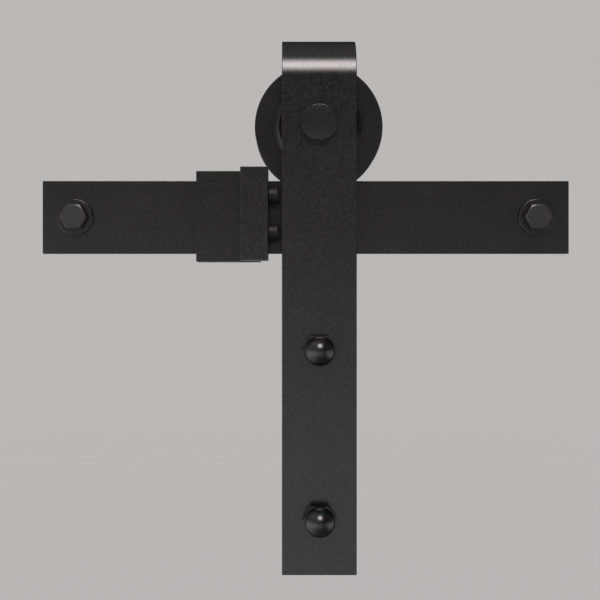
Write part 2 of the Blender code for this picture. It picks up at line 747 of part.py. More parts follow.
def build_outer_race(wheel_pivot, place):
    land = BALL_PITCH_RADIUS + RACE_HALF_GAP
    seat = land + SHIELD_SEAT_DEPTH
    step = BEARING_HALF_WIDTH - SHIELD_SEAT_WIDTH
    profile = [
        (BEARING_RADIUS, -BEARING_HALF_WIDTH, EDGE),
        (BEARING_RADIUS, BEARING_HALF_WIDTH, EDGE),
        (seat, BEARING_HALF_WIDTH, 0),
        (seat, step, 0),
        (land, step, 0),
    ]
    profile += arc(BALL_PITCH_RADIUS, 0, GROOVE_RADIUS, RACE_ANGLE, -RACE_ANGLE, RACE_STEPS)
    profile += [(land, -step, 0), (seat, -step, 0), (seat, -BEARING_HALF_WIDTH, 0)]
    turned("bearing_outer_ring", profile, "bearing_steel", place, parent=wheel_pivot)
    inner = BALL_PITCH_RADIUS - RACE_HALF_GAP + EDGE
    for side, sign in (("front", 1), ("rear", -1)):
        near = sign * (step + GAP)
        far = sign * (step + GAP + SHIELD_THICKNESS)
        shield = ring_corners(inner, seat - GAP, min(near, far), max(near, far))
        turned("bearing_shield_" + side, shield, "bearing_steel", place, parent=wheel_pivot)


def build_inner_race(hanger):
    land = BALL_PITCH_RADIUS - RACE_HALF_GAP
    start = math.pi - RACE_ANGLE
    end = math.pi + RACE_ANGLE
    profile = [(land, BEARING_HALF_WIDTH, EDGE)]
    profile += arc(BALL_PITCH_RADIUS, 0, GROOVE_RADIUS, start, end, RACE_STEPS)
    profile += [
        (land, -BEARING_HALF_WIDTH, EDGE),
        (M10_HOLE_RADIUS, -BEARING_HALF_WIDTH, EDGE),
        (M10_HOLE_RADIUS, BEARING_HALF_WIDTH, EDGE),
    ]
    turned("bearing_inner_ring", profile, "bearing_steel", (0, 0, AXLE_Z), parent=hanger)


def build_cage(cage_pivot):
    """Ring with a round pocket for each ball, and the balls in it."""
    place = (0, 0, AXLE_Z)
    inner = BALL_PITCH_RADIUS - CAGE_HALF_DEPTH
    outer = BALL_PITCH_RADIUS + CAGE_HALF_DEPTH
    ring = ring_corners(inner, outer, -CAGE_HALF_WIDTH, CAGE_HALF_WIDTH)
    cage = turned("bearing_cage", ring, "bearing_steel", place, parent=cage_pivot, segments=CAGE_SEGMENTS)
    pocket = BALL_RADIUS + GAP
    reach = 2 * CAGE_HALF_DEPTH
    for number in range(BALL_COUNT):
        angle = 2 * math.pi * number / BALL_COUNT
        centre = Vector(place) + Vector((math.cos(angle), 0, math.sin(angle))) * BALL_PITCH_RADIUS
        outward = (0, math.pi / 2 - angle, 0)
        drill(cage, str(number), pocket, -reach, reach, centre, outward, TINY_SEGMENTS)
        bm = bmesh.new()
        bmesh.ops.create_uvsphere(bm, u_segments=TINY_SEGMENTS, v_segments=BALL_RINGS, radius=BALL_RADIUS)
        name = "bearing_ball_%d" % (number + 1)
        finish(add_object(name, bm, centre, parent=cage_pivot), "bearing_steel")


# ---------------------------------------------------------------- assembly
def build_all():
    clear_scene()
    hanger = make_pivot("hanger_pivot", (0, 0, AXLE_Z))
    wheel_pivot = make_pivot("wheel_pivot", (0, 0, AXLE_Z))
    cage_pivot = make_pivot("cage_pivot", (0, 0, AXLE_Z))

    build_rail()
    for side, x in FIXING_X.items():
        build_wall_fixing(side, x)
    build_stop_sleeve()
    build_stop_bar()

    build_strap(hanger)
    build_axle(hanger)
    build_inner_race(hanger)
    for level, z in DOOR_BOLT_Z.items():
        build_cap_nut(hanger, level, (0, 0, z))
        build_door_bolt(hanger, level, (0, 0, z))

    build_wheel(wheel_pivot)
    build_cage(cage_pivot)


build_all()
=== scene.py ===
import json
import math

import bmesh
import bpy
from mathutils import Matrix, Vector


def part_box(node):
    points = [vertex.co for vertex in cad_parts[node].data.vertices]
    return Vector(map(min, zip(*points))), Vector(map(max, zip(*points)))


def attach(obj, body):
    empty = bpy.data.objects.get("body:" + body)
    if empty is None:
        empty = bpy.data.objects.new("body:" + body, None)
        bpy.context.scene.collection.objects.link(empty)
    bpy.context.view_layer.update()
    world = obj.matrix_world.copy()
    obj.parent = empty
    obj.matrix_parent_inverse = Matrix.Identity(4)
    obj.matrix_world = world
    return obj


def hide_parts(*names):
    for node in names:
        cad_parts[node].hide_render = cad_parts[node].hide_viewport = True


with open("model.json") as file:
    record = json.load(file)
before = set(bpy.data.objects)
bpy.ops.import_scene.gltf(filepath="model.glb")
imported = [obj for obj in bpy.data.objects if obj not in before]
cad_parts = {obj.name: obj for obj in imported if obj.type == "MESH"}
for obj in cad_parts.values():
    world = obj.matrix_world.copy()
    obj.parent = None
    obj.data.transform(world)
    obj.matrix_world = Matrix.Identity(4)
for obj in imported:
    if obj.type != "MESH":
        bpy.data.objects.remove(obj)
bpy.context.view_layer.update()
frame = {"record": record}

BODY_OF = {
    node: body
    for body, nodes in frame["record"]["behaviour"]["bodies"].items()
    for node in nodes
}

MM = 0.001
ROUND = 192                 # sides of a large turned piece
FINE = 96                   # sides of a small turned piece
STEPS = 5                   # points in a fillet
SMOOTH_ANGLE = math.radians(34)
TO_ROOM = (math.pi / 2, 0, 0)       # local +Z points to -Y
TO_RIGHT = (0, math.pi / 2, 0)      # local +Z points to +X
UPWARD = (0, 0, 0)


# ---------------------------------------------------------------- sizes read from the frame
def low(node):
    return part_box(node)[0]


def high(node):
    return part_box(node)[1]


def middle(node):
    return (low(node) + high(node)) / 2


def front_of(node):
    """Distance of a node's front from the rail's mid-plane, positive towards the room."""
    return -low(node).y


def back_of(node):
    return -high(node).y


def radius_of(node):
    return (high(node).x - low(node).x) / 2


# ---------------------------------------------------------------- mesh tools
def link(obj):
    bpy.context.scene.collection.objects.link(obj)
    return obj


def fillet(corners, steps=STEPS):
    """Points from corners (x, y, radius, tag): a corner with a radius becomes an arc."""
    outline = []
    for i, (x, y, radius, tag) in enumerate(corners):
        corner = Vector((x, y))
        if radius == 0:
            outline.append((corner, tag))
            continue
        before = (Vector(corners[i - 1][:2]) - corner).normalized()
        after = (Vector(corners[(i + 1) % len(corners)][:2]) - corner).normalized()
        half = before.angle(after) / 2
        centre = corner + (before + after).normalized() * (radius / math.sin(half))
        first = corner + before * (radius / math.tan(half)) - centre
        last = corner + after * (radius / math.tan(half)) - centre
        turn = -first.angle_signed(last)
        for step in range(steps + 1):
            angle = turn * step / steps
            spoke = Vector((
                first.x * math.cos(angle) - first.y * math.sin(angle),
                first.x * math.sin(angle) + first.y * math.cos(angle),
            ))
            outline.append((centre + spoke, tag))
    return outline


def tagged(corners):
    """Fills in the parts of a corner that were left out: no fillet, no tag."""
    return [(*corner, *(0, "")[len(corner) - 2:]) for corner in corners]


def arc(centre_x, centre_y, radius, start, end, steps, tag=""):
    angles = [start + (end - start) * i / steps for i in range(steps + 1)]
    return [
        (centre_x + radius * math.cos(a), centre_y + radius * math.sin(a), 0, tag)
        for a in angles
    ]


def refine(outline, spacing):
    """Adds points so that no stretch between two points of the same tag is longer than spacing."""
    points = []
    for i, (point, tag) in enumerate(outline):
        points.append((point, tag))
        following, next_tag = outline[(i + 1) % len(outline)]
        if not tag or tag != next_tag:
            continue
        cuts = int((following - point).length / spacing)
        for cut in range(1, cuts + 1):
            points.append((point.lerp(following, cut / (cuts + 1)), tag))
    return points


def soft_min(a, b, blend):
    overlap = max(blend - abs(a - b), 0) / blend
    return min(a, b) - overlap * overlap * blend / 4


def hex_radius(flats, angle):
    """Distance from the centre to a hexagon's side, with corners at angle 0, 60, 120..."""
    from_flat = math.fmod(angle + 2 * math.pi, math.pi / 3) - math.pi / 6
    return flats / 2 / math.cos(from_flat)


def swept_mesh(corners, segments, shape=None, spacing=0.2 * MM):
    """Closed surface swept round local Z. shape(tag, radius, height, angle) may change the radius."""
    outline = refine(fillet(tagged(corners)), spacing)
    bm = bmesh.new()
    rings = []
    for point, tag in outline:
        count = 1 if point.x < 1e-7 else segments
        ring = []
        for i in range(count):
            angle = 2 * math.pi * i / segments
            radius = shape(tag, point.x, point.y, angle) if shape and tag else point.x
            ring.append(bm.verts.new((radius * math.cos(angle), radius * math.sin(angle), point.y)))
        rings.append(ring)
    for ring, following in zip(rings, rings[1:] + rings[:1]):
        if len(ring) == 1 and len(following) == 1:
            continue
        for i in range(segments):
            j = (i + 1) % segments
            if len(ring) == 1:
                bm.faces.new((ring[0], following[i], following[j]))
            elif len(following) == 1:
                bm.faces.new((ring[i], ring[j], following[0]))
            else:
                bm.faces.new((ring[i], ring[j], following[j], following[i]))
    return bm


def make_object(name, bm, location=(0, 0, 0), rotation=(0, 0, 0)):
    bmesh.ops.recalc_face_normals(bm, faces=bm.faces)
    mesh = bpy.data.meshes.new(name)
    bm.to_mesh(mesh)
    bm.free()
    obj = link(bpy.data.objects.new(name, mesh))
    obj.location = location
    obj.rotation_euler = rotation
    return obj


def settle(obj):
    """Replaces the object's mesh with what its modifiers make of it."""
    bpy.context.view_layer.update()
    depsgraph = bpy.context.evaluated_depsgraph_get()
    mesh = bpy.data.meshes.new_from_object(obj.evaluated_get(depsgraph))
    obj.modifiers.clear()
    obj.data = mesh
    return obj


def cut(obj, tools, operation="DIFFERENCE"):
    for tool in tools:
        boolean = obj.modifiers.new("cut", "BOOLEAN")
        boolean.operation = operation
        boolean.solver = "EXACT"
        boolean.object = tool
    settle(obj)
    for tool in tools:
        bpy.data.objects.remove(tool, do_unlink=True)
    return obj


def round_edges(obj, width, segments=4):
    bevel = obj.modifiers.new("edges", "BEVEL")
    bevel.width = width
    bevel.segments = segments
    bevel.limit_method = "ANGLE"
    bevel.angle_limit = SMOOTH_ANGLE
    return settle(obj)


def smooth(obj):
    obj.data.shade_smooth()
    obj.data.set_sharp_from_angle(angle=SMOOTH_ANGLE)
    weighted = obj.modifiers.new("normals", "WEIGHTED_NORMAL")
    weighted.keep_sharp = True
    weighted.weight = 80
    return obj


def box_mesh(lowest, highest):
    bm = bmesh.new()
    bmesh.ops.create_cube(bm, size=1)
    lowest, highest = Vector(lowest), Vector(highest)
    bmesh.ops.scale(bm, vec=highest - lowest, verts=bm.verts)
    bmesh.ops.translate(bm, vec=(highest + lowest) / 2, verts=bm.verts)
    return bm


def hole_tool(radius, start, end, location, rotation, flare=0.25 * MM):
    """Drill with a rounded flare where it passes the planes at start and end."""
    past = 4 * MM
    corners = [
        (0, start - past),
        (radius + 2 * flare, start - past),
        (radius + 2 * flare, start, 0),
        (radius + flare, start, 0),
        (radius, start + flare, flare),
        (radius, end - flare, flare),
        (radius + flare, end, 0),
        (radius + 2 * flare, end, 0),
        (radius + 2 * flare, end + past),
        (0, end + past),
    ]
    return make_object("tool", swept_mesh(corners, FINE), location, rotation)


def finish(obj, node, material, replaced=None):
    """The piece takes its finish, rides on its node's body and stands for that node."""
    obj.name = node + "_fine"
    obj.data.name = obj.name
    obj.data.materials.clear()
    obj.data.materials.append(material)
    smooth(obj)
    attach(obj, BODY_OF[node])
    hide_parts(*(replaced or [node]))
    return obj


def turned(node, corners, material, rotation=TO_ROOM, segments=ROUND, shape=None):
    centre = middle(node)
    keep = {TO_ROOM: (1, 0, 1), TO_RIGHT: (0, 1, 1), UPWARD: (1, 1, 0)}[rotation]
    location = Vector(centre) * Vector(keep)
    obj = make_object(node, swept_mesh(corners, segments, shape), location, rotation)
    return finish(obj, node, material)


# ---------------------------------------------------------------- materials
class Nodes:
    """Short forms for building a material's node tree."""

    def __init__(self, name):
        self.material = bpy.data.materials.new(name)
        self.material.use_nodes = True
        self.tree = self.material.node_tree
        self.shader = self.tree.nodes["Principled BSDF"]
        self.place = self.add("ShaderNodeTexCoord").outputs["Object"]

    def add(self, kind, **settings):
        node = self.tree.nodes.new(kind)
        for key, value in settings.items():
            setattr(node, key, value)
        return node

    def join(self, source, target):
        self.tree.links.new(source, target)

    def set(self, **values):
        for key, value in values.items():
            self.shader.inputs[key.replace("_", " ")].default_value = value

    def noise(self, scale, detail=3.0, roughness=0.55, place=None):
        node = self.add("ShaderNodeTexNoise")
        node.inputs["Scale"].default_value = scale
        node.inputs["Detail"].default_value = detail
        node.inputs["Roughness"].default_value = roughness
        self.join(place or self.place, node.inputs["Vector"])
        return node.outputs["Fac"]

    def remap(self, source, from_low, from_high, to_low, to_high):
        node = self.add("ShaderNodeMapRange")
        for key, value in (
            ("From Min", from_low), ("From Max", from_high), ("To Min", to_low), ("To Max", to_high)
        ):
            node.inputs[key].default_value = value
        self.join(source, node.inputs["Value"])
        return node.outputs["Result"]

    def maths(self, operation, first, second):
        node = self.add("ShaderNodeMath", operation=operation)
        for socket, value in zip(node.inputs, (first, second)):
            if isinstance(value, (int, float)):
                socket.default_value = value
            else:
                self.join(value, socket)
        return node.outputs["Value"]

    def mix(self, factor, first, second):
        node = self.add("ShaderNodeMix", data_type="RGBA")
        for key, value in (("Factor", factor), ("A", first), ("B", second)):
            socket = [s for s in node.inputs if s.name == key and s.enabled][0]
            if isinstance(value, tuple):
                socket.default_value = (*value, 1)
            elif isinstance(value, float):
                socket.default_value = value
            else:
                self.join(value, socket)
        return [s for s in node.outputs if s.enabled][0]

    def bump(self, height, distance, below=None, strength=1.0):
        node = self.add("ShaderNodeBump")
        node.inputs["Strength"].default_value = strength
        node.inputs["Distance"].default_value = distance
        self.join(height, node.inputs["Height"])
        if below:
            self.join(below, node.inputs["Normal"])
        return node.outputs["Normal"]

    def edges(self, radius, reach):
        """1 on convex and concave edges within radius, fading to 0 on flat ground."""
        bevel = self.add("ShaderNodeBevel", samples=6)
        bevel.inputs["Radius"].default_value = radius
        normal = self.add("ShaderNodeNewGeometry").outputs["Normal"]
        dot = self.add("ShaderNodeVectorMath", operation="DOT_PRODUCT")
        self.join(bevel.outputs["Normal"], dot.inputs[0])
        self.join(normal, dot.inputs[1])
        return self.remap(dot.outputs["Value"], 1.0, 1.0 - reach, 0.0, 1.0)

    def turning_place(self):
        """Coordinates that are constant along a turned piece's tool marks."""
        split = self.add("ShaderNodeSeparateXYZ")
        self.join(self.place, split.inputs["Vector"])
        squares = self.maths(
            "ADD",
            self.maths("MULTIPLY", split.outputs["X"], split.outputs["X"]),
            self.maths("MULTIPLY", split.outputs["Y"], split.outputs["Y"]),
        )
        radius = self.maths("SQRT", squares, 0.0)
        combine = self.add("ShaderNodeCombineXYZ")
        self.join(radius, combine.inputs["X"])
        self.join(split.outputs["Z"], combine.inputs["Y"])
        return combine.outputs["Vector"]

    def speckled(self, colour, broad, contrast):
        """Colour with pale and dark grains of powder, a little paler in broad patches."""
        speckle = self.noise(1350, 1.0, 0.6)
        patch = self.remap(broad, 0.35, 0.65, 0.0, 1.0)
        pale = self.mix(patch, scaled(colour, 1 + 0.9 * contrast), scaled(colour, 1 + 1.1 * contrast))
        dark = self.mix(patch, scaled(colour, 1 - contrast), scaled(colour, 1 - 0.9 * contrast))
        return self.mix(self.remap(speckle, 0.37, 0.67, 0.0, 1.0), dark, pale)

    def colour(self, source):
        self.join(source, self.shader.inputs["Base Color"])

    def rough(self, source):
        self.join(source, self.shader.inputs["Roughness"])

    def normal(self, source):
        self.join(source, self.shader.inputs["Normal"])


def scaled(colour, factor):
    return tuple(channel * factor for channel in colour)


def powder_coat(name, colour, roughness, contrast=1.0, grain=0.012 * MM, peel=0.008 * MM):
    """Baked powder coat: speckled grain on a soft orange peel, thinner and paler along edges."""
    n = Nodes(name)
    speckle = n.noise(1350, 3.0, 0.6)
    soft = n.noise(420, 2.0, 0.5)
    broad = n.noise(24, 4.0, 0.6)
    body = n.speckled(colour, broad, contrast)
    edge = n.maths("MULTIPLY", n.edges(0.5 * MM, 0.10), n.remap(broad, 0.42, 0.62, 0.25, 1.0))
    n.colour(n.mix(edge, body, scaled(colour, 1.5)))
    n.rough(n.remap(n.maths("ADD", soft, broad), 0.7, 1.3, roughness - 0.03, roughness + 0.03))
    n.normal(n.bump(speckle, grain, n.bump(soft, peel)))
    n.set(Metallic=0.0, IOR=1.5)
    return n.material


def turned_coat(name, colour, roughness):
    """Black coat on turned steel: speckled like powder coat, with faint tool rings under it."""
    n = Nodes(name)
    place = n.turning_place()
    rings = n.noise(2600, 3.0, 0.6, place)
    wide_rings = n.noise(420, 2.0, 0.5, place)
    broad = n.noise(30, 4.0, 0.6)
    body = n.speckled(colour, broad, 1.0)
    edge = n.maths("MULTIPLY", n.edges(0.5 * MM, 0.10), n.remap(broad, 0.42, 0.62, 0.2, 0.9))
    n.colour(n.mix(edge, body, scaled(colour, 1.6)))
    n.rough(n.remap(n.maths("ADD", rings, broad), 0.7, 1.3, roughness - 0.03, roughness + 0.03))
    n.normal(n.bump(rings, 0.003 * MM, n.bump(wide_rings, 0.006 * MM)))
    n.set(Metallic=0.0, IOR=1.5, Specular_IOR_Level=0.42)
    return n.material


def gloss_enamel(name, colour, roughness):
    """Smooth glossy black with a few faint dust nibs and soft waviness."""
    n = Nodes(name)
    wave = n.noise(260, 2.0, 0.5)
    fine = n.noise(3000, 2.0, 0.6)
    broad = n.noise(90, 3.0, 0.6)
    n.colour(n.mix(broad, scaled(colour, 0.8), scaled(colour, 1.3)))
    n.rough(n.remap(n.maths("ADD", broad, fine), 0.7, 1.3, roughness - 0.04, roughness + 0.05))
    n.normal(n.bump(fine, 0.002 * MM, n.bump(wave, 0.012 * MM)))
    n.set(Metallic=0.0, IOR=1.5)
    return n.material


def black_oxide(name, colour, roughness):
    """Blackened steel: thin, slightly metallic, browner on its edges."""
    n = Nodes(name)
    fine = n.noise(2600, 3.0, 0.6)
    broad = n.noise(60, 4.0, 0.6)
    body = n.mix(broad, scaled(colour, 0.8), scaled(colour, 1.25))
    edge = n.maths("MULTIPLY", n.edges(0.5 * MM, 0.10), n.remap(broad, 0.40, 0.65, 0.1, 0.9))
    n.colour(n.mix(edge, body, (0.095, 0.080, 0.066)))
    n.rough(n.remap(n.maths("ADD", fine, broad), 0.7, 1.3, roughness - 0.06, roughness + 0.08))
    n.normal(n.bump(fine, 0.006 * MM))
    n.set(Metallic=0.35, IOR=1.5)
    return n.material


def moulded_rubber(name, colour, roughness):
    """Dense black rubber with a faint mould grain and a dusting on its surface."""
    n = Nodes(name)
    fine = n.noise(3200, 3.0, 0.65)
    soft = n.noise(700, 2.0, 0.5)
    broad = n.noise(120, 3.0, 0.6)
    n.colour(n.mix(n.remap(broad, 0.35, 0.65, 0.0, 1.0), scaled(colour, 0.8), scaled(colour, 1.35)))
    n.rough(n.remap(n.maths("ADD", soft, broad), 0.7, 1.3, roughness - 0.07, roughness + 0.08))
    n.normal(n.bump(fine, 0.006 * MM, n.bump(soft, 0.010 * MM)))
    n.set(Metallic=0.0, IOR=1.52, Specular_IOR_Level=0.2)
    return n.material


def plated_steel(name, colour, roughness, tint=(1.0, 1.0, 1.0)):
    """Bright metal with turning marks, and a faint colour cast in patches."""
    n = Nodes(name)
    rings = n.noise(3000, 3.0, 0.6, n.turning_place())
    broad = n.noise(70, 3.0, 0.6)
    cast = tuple(a * b for a, b in zip(colour, tint))
    body = n.mix(n.remap(broad, 0.35, 0.65, 0.0, 1.0), colour, cast)
    n.colour(n.mix(n.remap(rings, 0.35, 0.65, 0.0, 0.35), body, scaled(colour, 0.72)))
    n.rough(n.remap(n.maths("ADD", rings, broad), 0.7, 1.3, roughness - 0.06, roughness + 0.10))
    n.normal(n.bump(rings, 0.004 * MM))
    n.set(Metallic=1.0)
    return n.material


def cloudy_nylon(name, colour):
    n = Nodes(name)
    broad = n.noise(300, 3.0, 0.6)
    n.colour(n.mix(broad, scaled(colour, 0.85), scaled(colour, 1.08)))
    n.rough(n.remap(broad, 0.3, 0.7, 0.38, 0.52))
    n.normal(n.bump(n.noise(2500), 0.004 * MM))
    n.set(Metallic=0.0, IOR=1.53, Subsurface_Weight=0.15, Subsurface_Scale=0.002)
    return n.material


def studio(name, colour, roughness):
    n = Nodes(name)
    cloud = n.noise(1.5, 2.0)
    n.colour(n.mix(cloud, scaled(colour, 0.985), scaled(colour, 1.015)))
    n.set(Roughness=roughness, Specular_IOR_Level=0.1)
    return n.material


COAT = (0.0095, 0.0095, 0.0088)
BLACK_COAT = powder_coat("powder_coat_black", COAT, 0.23)
WHEEL_COAT = turned_coat("wheel_coat_black", (0.0084, 0.0084, 0.0082), 0.24)
HEAD_COAT = powder_coat("axle_head_coat", (0.0112, 0.0112, 0.0104), 0.22, 0.5, 0.012 * MM, 0.006 * MM)
GLOSS = gloss_enamel("dome_nut_enamel", (0.0045, 0.0044, 0.0040), 0.24)
OXIDE = black_oxide("black_oxide", (0.030, 0.029, 0.027), 0.38)
RUBBER = moulded_rubber("bumper_rubber", (0.0075, 0.0075, 0.0075), 0.52)
ZINC = plated_steel("zinc_plate", (0.60, 0.61, 0.60), 0.30, (1.02, 0.98, 0.86))
GROUND_STEEL = plated_steel("ground_steel", (0.66, 0.66, 0.67), 0.18, (0.98, 0.98, 1.0))
NYLON = cloudy_nylon("nylon_ring", (0.62, 0.68, 0.76))


# ---------------------------------------------------------------- rail and wall fixings
FIXINGS = ("left", "right")
LAG_SHANK = 4.0 * MM
HOLE_PLAY = 0.5 * MM        # from the lag bolt's shank to the rail's hole


def make_rail():
    lowest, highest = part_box("rail")
    rail = make_object("rail", box_mesh(lowest, highest))
    round_edges(rail, 0.15 * MM, 3)
    radius = LAG_SHANK + HOLE_PLAY
    tools = []
    for side in FIXINGS:
        spot = middle("standoff_" + side)
        tools.append(hole_tool(radius, -highest.y, -lowest.y, (spot.x, 0, spot.z), TO_ROOM))
    cut(rail, tools)
    finish(rail, "rail", BLACK_COAT)


def make_standoff(node):
    inner = LAG_SHANK + HOLE_PLAY
    outer = radius_of(node)
    corners = [
        (inner, back_of(node), 0.3 * MM),
        (outer, back_of(node), 0.5 * MM),
        (outer, front_of(node), 0.5 * MM),
        (inner, front_of(node), 0.3 * MM),
    ]
    turned(node, corners, BLACK_COAT)


def make_washer(node, hole, material):
    """Stamped washer: the edge that met the punch is rounder than the other."""
    outer = radius_of(node)
    corners = [
        (hole, back_of(node), 0.12 * MM),
        (outer, back_of(node), 0.15 * MM),
        (outer, front_of(node), 0.45 * MM),
        (hole, front_of(node), 0.35 * MM),
    ]
    turned(node, corners, material, segments=FINE)


def hexagon(flats, blend=0.12 * MM, tag="hex"):
    """Shape function that trims what is tagged to a hexagon with slightly rounded corners."""
    corner = flats / 2 / math.cos(math.pi / 6) - 0.15 * MM

    def shape(found, radius, height, angle):
        if found != tag:
            return radius
        side = soft_min(hex_radius(flats, angle), corner, 0.12 * MM)
        return soft_min(radius, side, blend)

    return shape


def make_lag_bolt(node):
    """Hexagon-head wood screw with a plain shank, a tapering thread and a gimlet point."""
    shank = LAG_SHANK
    head_height = 5.3 * MM
    flats = high(node).z - low(node).z
    corner = flats / 2 / math.cos(math.pi / 6)
    slope = (corner - flats / 2) * math.tan(math.pi / 6)
    tip = back_of(node)
    head_front = front_of(node)
    head_back = head_front - head_height
    point_length = 9 * MM
    thread_start = tip + 46 * MM
    pitch = 3.6 * MM
    depth = 1.15 * MM

    def shape(tag, radius, height, angle):
        if tag == "hex":
            return trim(tag, radius, height, angle)
        if tag != "thread":
            return radius
        fade = min(1.0, max(0.0, (thread_start - height) / (2 * MM)))
        turn = math.fmod(height / pitch - angle / (2 * math.pi) + 100, 1.0)
        valley = min(1.0, max(0.0, (abs(2 * turn - 1) - 0.10) / 0.55))
        root = 1 - (1 - valley) ** 2
        scale = min(1.0, radius / shank)
        return radius - depth * root * fade * scale

    trim = hexagon(flats)
    corners = [
        (0, tip),
        (0.5 * MM, tip + 0.2 * MM, 0, "thread"),
        (shank, tip + point_length, 0, "thread"),
        (shank, thread_start, 0, "thread"),
        (shank, head_back, 0.3 * MM, ""),
        (flats / 2 - 0.2 * MM, head_back, 0, "hex"),
        (corner, head_back + slope * 0.6, 0, "hex"),
        (corner, head_front - slope, 0, "hex"),
        (flats / 2 * 0.95, head_front, 0, "hex"),
        (flats / 2 * 0.90, head_front),
        (0, head_front),
    ]
    turned(node, corners, OXIDE, segments=FINE * 2, shape=shape)


# ---------------------------------------------------------------- rail stop
def rectangle_tool(outline, half_y, half_z, centre_z):
    """Closed tool of rectangular rings: each point of the outline is (grow, x)."""
    bm = bmesh.new()
    rings = []
    for grow, x in outline:
        signs = ((-1, -1), (1, -1), (1, 1), (-1, 1))
        rings.append([
            bm.verts.new((x, sy * (half_y + grow), centre_z + sz * (half_z + grow)))
            for sy, sz in signs
        ])
    for ring, following in zip(rings, rings[1:]):
        for i in range(4):
            j = (i + 1) % 4
            bm.faces.new((ring[i], ring[j], following[j], following[i]))
    bm.faces.new(rings[0])
    bm.faces.new(list(reversed(rings[-1])))
    return make_object("tool", bm)


SLEEVE_CLEARANCE = 0.3 * MM
COUNTERSINK = 5.1 * MM
SCREW_HOLE = 2.8 * MM
GRUB_HOLE = 3.3 * MM
SMALL_CREST = 0.12          # share of the pitch that a small thread's crest takes


def make_stop_sleeve():
    lowest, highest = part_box("stop_sleeve")
    rail_low, rail_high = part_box("rail")
    sleeve = make_object("stop_sleeve", box_mesh(lowest, highest))
    round_edges(sleeve, 0.2 * MM, 3)
    half_y = rail_high.y + SLEEVE_CLEARANCE
    half_z = (rail_high.z - rail_low.z) / 2 + SLEEVE_CLEARANCE
    flare = 0.4 * MM
    past = 5 * MM
    mouth = [(flare * (1 - math.sin(t)), flare * (1 - math.cos(t))) for t in
             [i * math.pi / 2 / STEPS for i in range(STEPS + 1)]]
    outline = [(flare, lowest.x - past)]
    outline += [(grow, lowest.x + along) for grow, along in mouth]
    outline += [(grow, highest.x - along) for grow, along in reversed(mouth)]
    outline += [(flare, highest.x + past)]
    tools = [rectangle_tool(outline, half_y, half_z, (rail_low.z + rail_high.z) / 2)]
    for side in FIXINGS:
        spot = middle("stop_grub_screw_" + side)
        tools.append(hole_tool(GRUB_HOLE, lowest.z, rail_low.z, (spot.x, spot.y, 0), UPWARD))
    for level in ("upper", "lower"):
        spot = middle("stop_bar_screw_" + level)
        sink = [
            (0, half_y - MM),
            (COUNTERSINK + MM, half_y - MM),
            (SCREW_HOLE, half_y + COUNTERSINK - SCREW_HOLE),
            (SCREW_HOLE, highest.y + MM),
            (0, highest.y + MM),
        ]
        tools.append(make_object("tool", swept_mesh(sink, FINE), (spot.x, 0, spot.z), TO_ROOM))
    cut(sleeve, tools)
    finish(sleeve, "stop_sleeve", BLACK_COAT)


def socket(flats, tag="socket"):
    """Shape function that turns what is tagged into a hexagonal socket."""
    def shape(found, radius, height, angle):
        if found != tag:
            return radius
        return radius * hex_radius(flats, angle) / (flats / 2)

    return shape


def thread_valley(height, angle, pitch, crest):
    """How deep a thread is cut here, 0 on a crest to 1 in a valley."""
    turn = math.fmod(height / pitch - angle / (2 * math.pi) + 100, 1.0)
    return min(1.0, max(0.0, (abs(2 * turn - 1) - crest) / (1 - 2 * crest)))


def make_grub_screw(node):
    radius = radius_of(node)
    bottom, top = low(node).z, high(node).z
    flats = 3 * MM
    depth = 2.5 * MM
    pitch = 1.0 * MM
    hexagonal = socket(flats)

    def shape(tag, r, height, angle):
        if tag == "thread":
            return r - 0.5 * MM * thread_valley(height, angle, pitch, SMALL_CREST)
        return hexagonal(tag, r, height, angle)

    corners = [
        (0, bottom + depth + 0.3 * MM),
        (flats / 2, bottom + depth, 0, "socket"),
        (flats / 2, bottom + 0.2 * MM, 0, "socket"),
        (flats / 2 + 0.35 * MM, bottom, 0, ""),
        (radius - 0.5 * MM, bottom, 0, ""),
        (radius, bottom + 0.5 * MM, 0, "thread"),
        (radius, top - 1.0 * MM, 0, "thread"),
        (1.9 * MM, top, 0.1 * MM, ""),
        (1.0 * MM, top, 0, ""),
        (0, top - 0.5 * MM),
    ]
    turned(node, corners, ZINC, UPWARD, FINE, shape)


def make_bar_screw(node):
    head = radius_of(node)
    face, tip = back_of(node), front_of(node)
    radius = 2.5 * MM
    flats = 3 * MM
    depth = 1.8 * MM
    pitch = 0.8 * MM
    hexagonal = socket(flats)

    def shape(tag, r, height, angle):
        if tag == "thread":
            return r - 0.42 * MM * thread_valley(height, angle, pitch, SMALL_CREST)
        return hexagonal(tag, r, height, angle)

    corners = [
        (0, face + depth + 0.3 * MM),
        (flats / 2, face + depth, 0, "socket"),
        (flats / 2, face + 0.2 * MM, 0, "socket"),
        (flats / 2 + 0.35 * MM, face, 0, ""),
        (head, face, 0.1 * MM, ""),
        (radius, face + head - radius, 0.3 * MM, ""),
        (radius, face + head - radius + 1.2 * MM, 0, "thread"),
        (radius, tip - 0.6 * MM, 0, "thread"),
        (radius - 0.6 * MM, tip, 0.1 * MM, ""),
        (0, tip),
    ]
    turned(node, corners, ZINC, TO_ROOM, FINE, shape)


def blind_hole(radius, bottom, mouth):
    """Outline of a hole from its bottom to a chamfered mouth, seen along the drill."""
    outwards = math.copysign(0.3 * MM, mouth - bottom)
    return [
        (0, bottom),
        (radius, bottom),
        (radius, mouth - outwards),
        (radius + 0.6 * MM, mouth + outwards),
        (0, mouth + outwards),
    ]


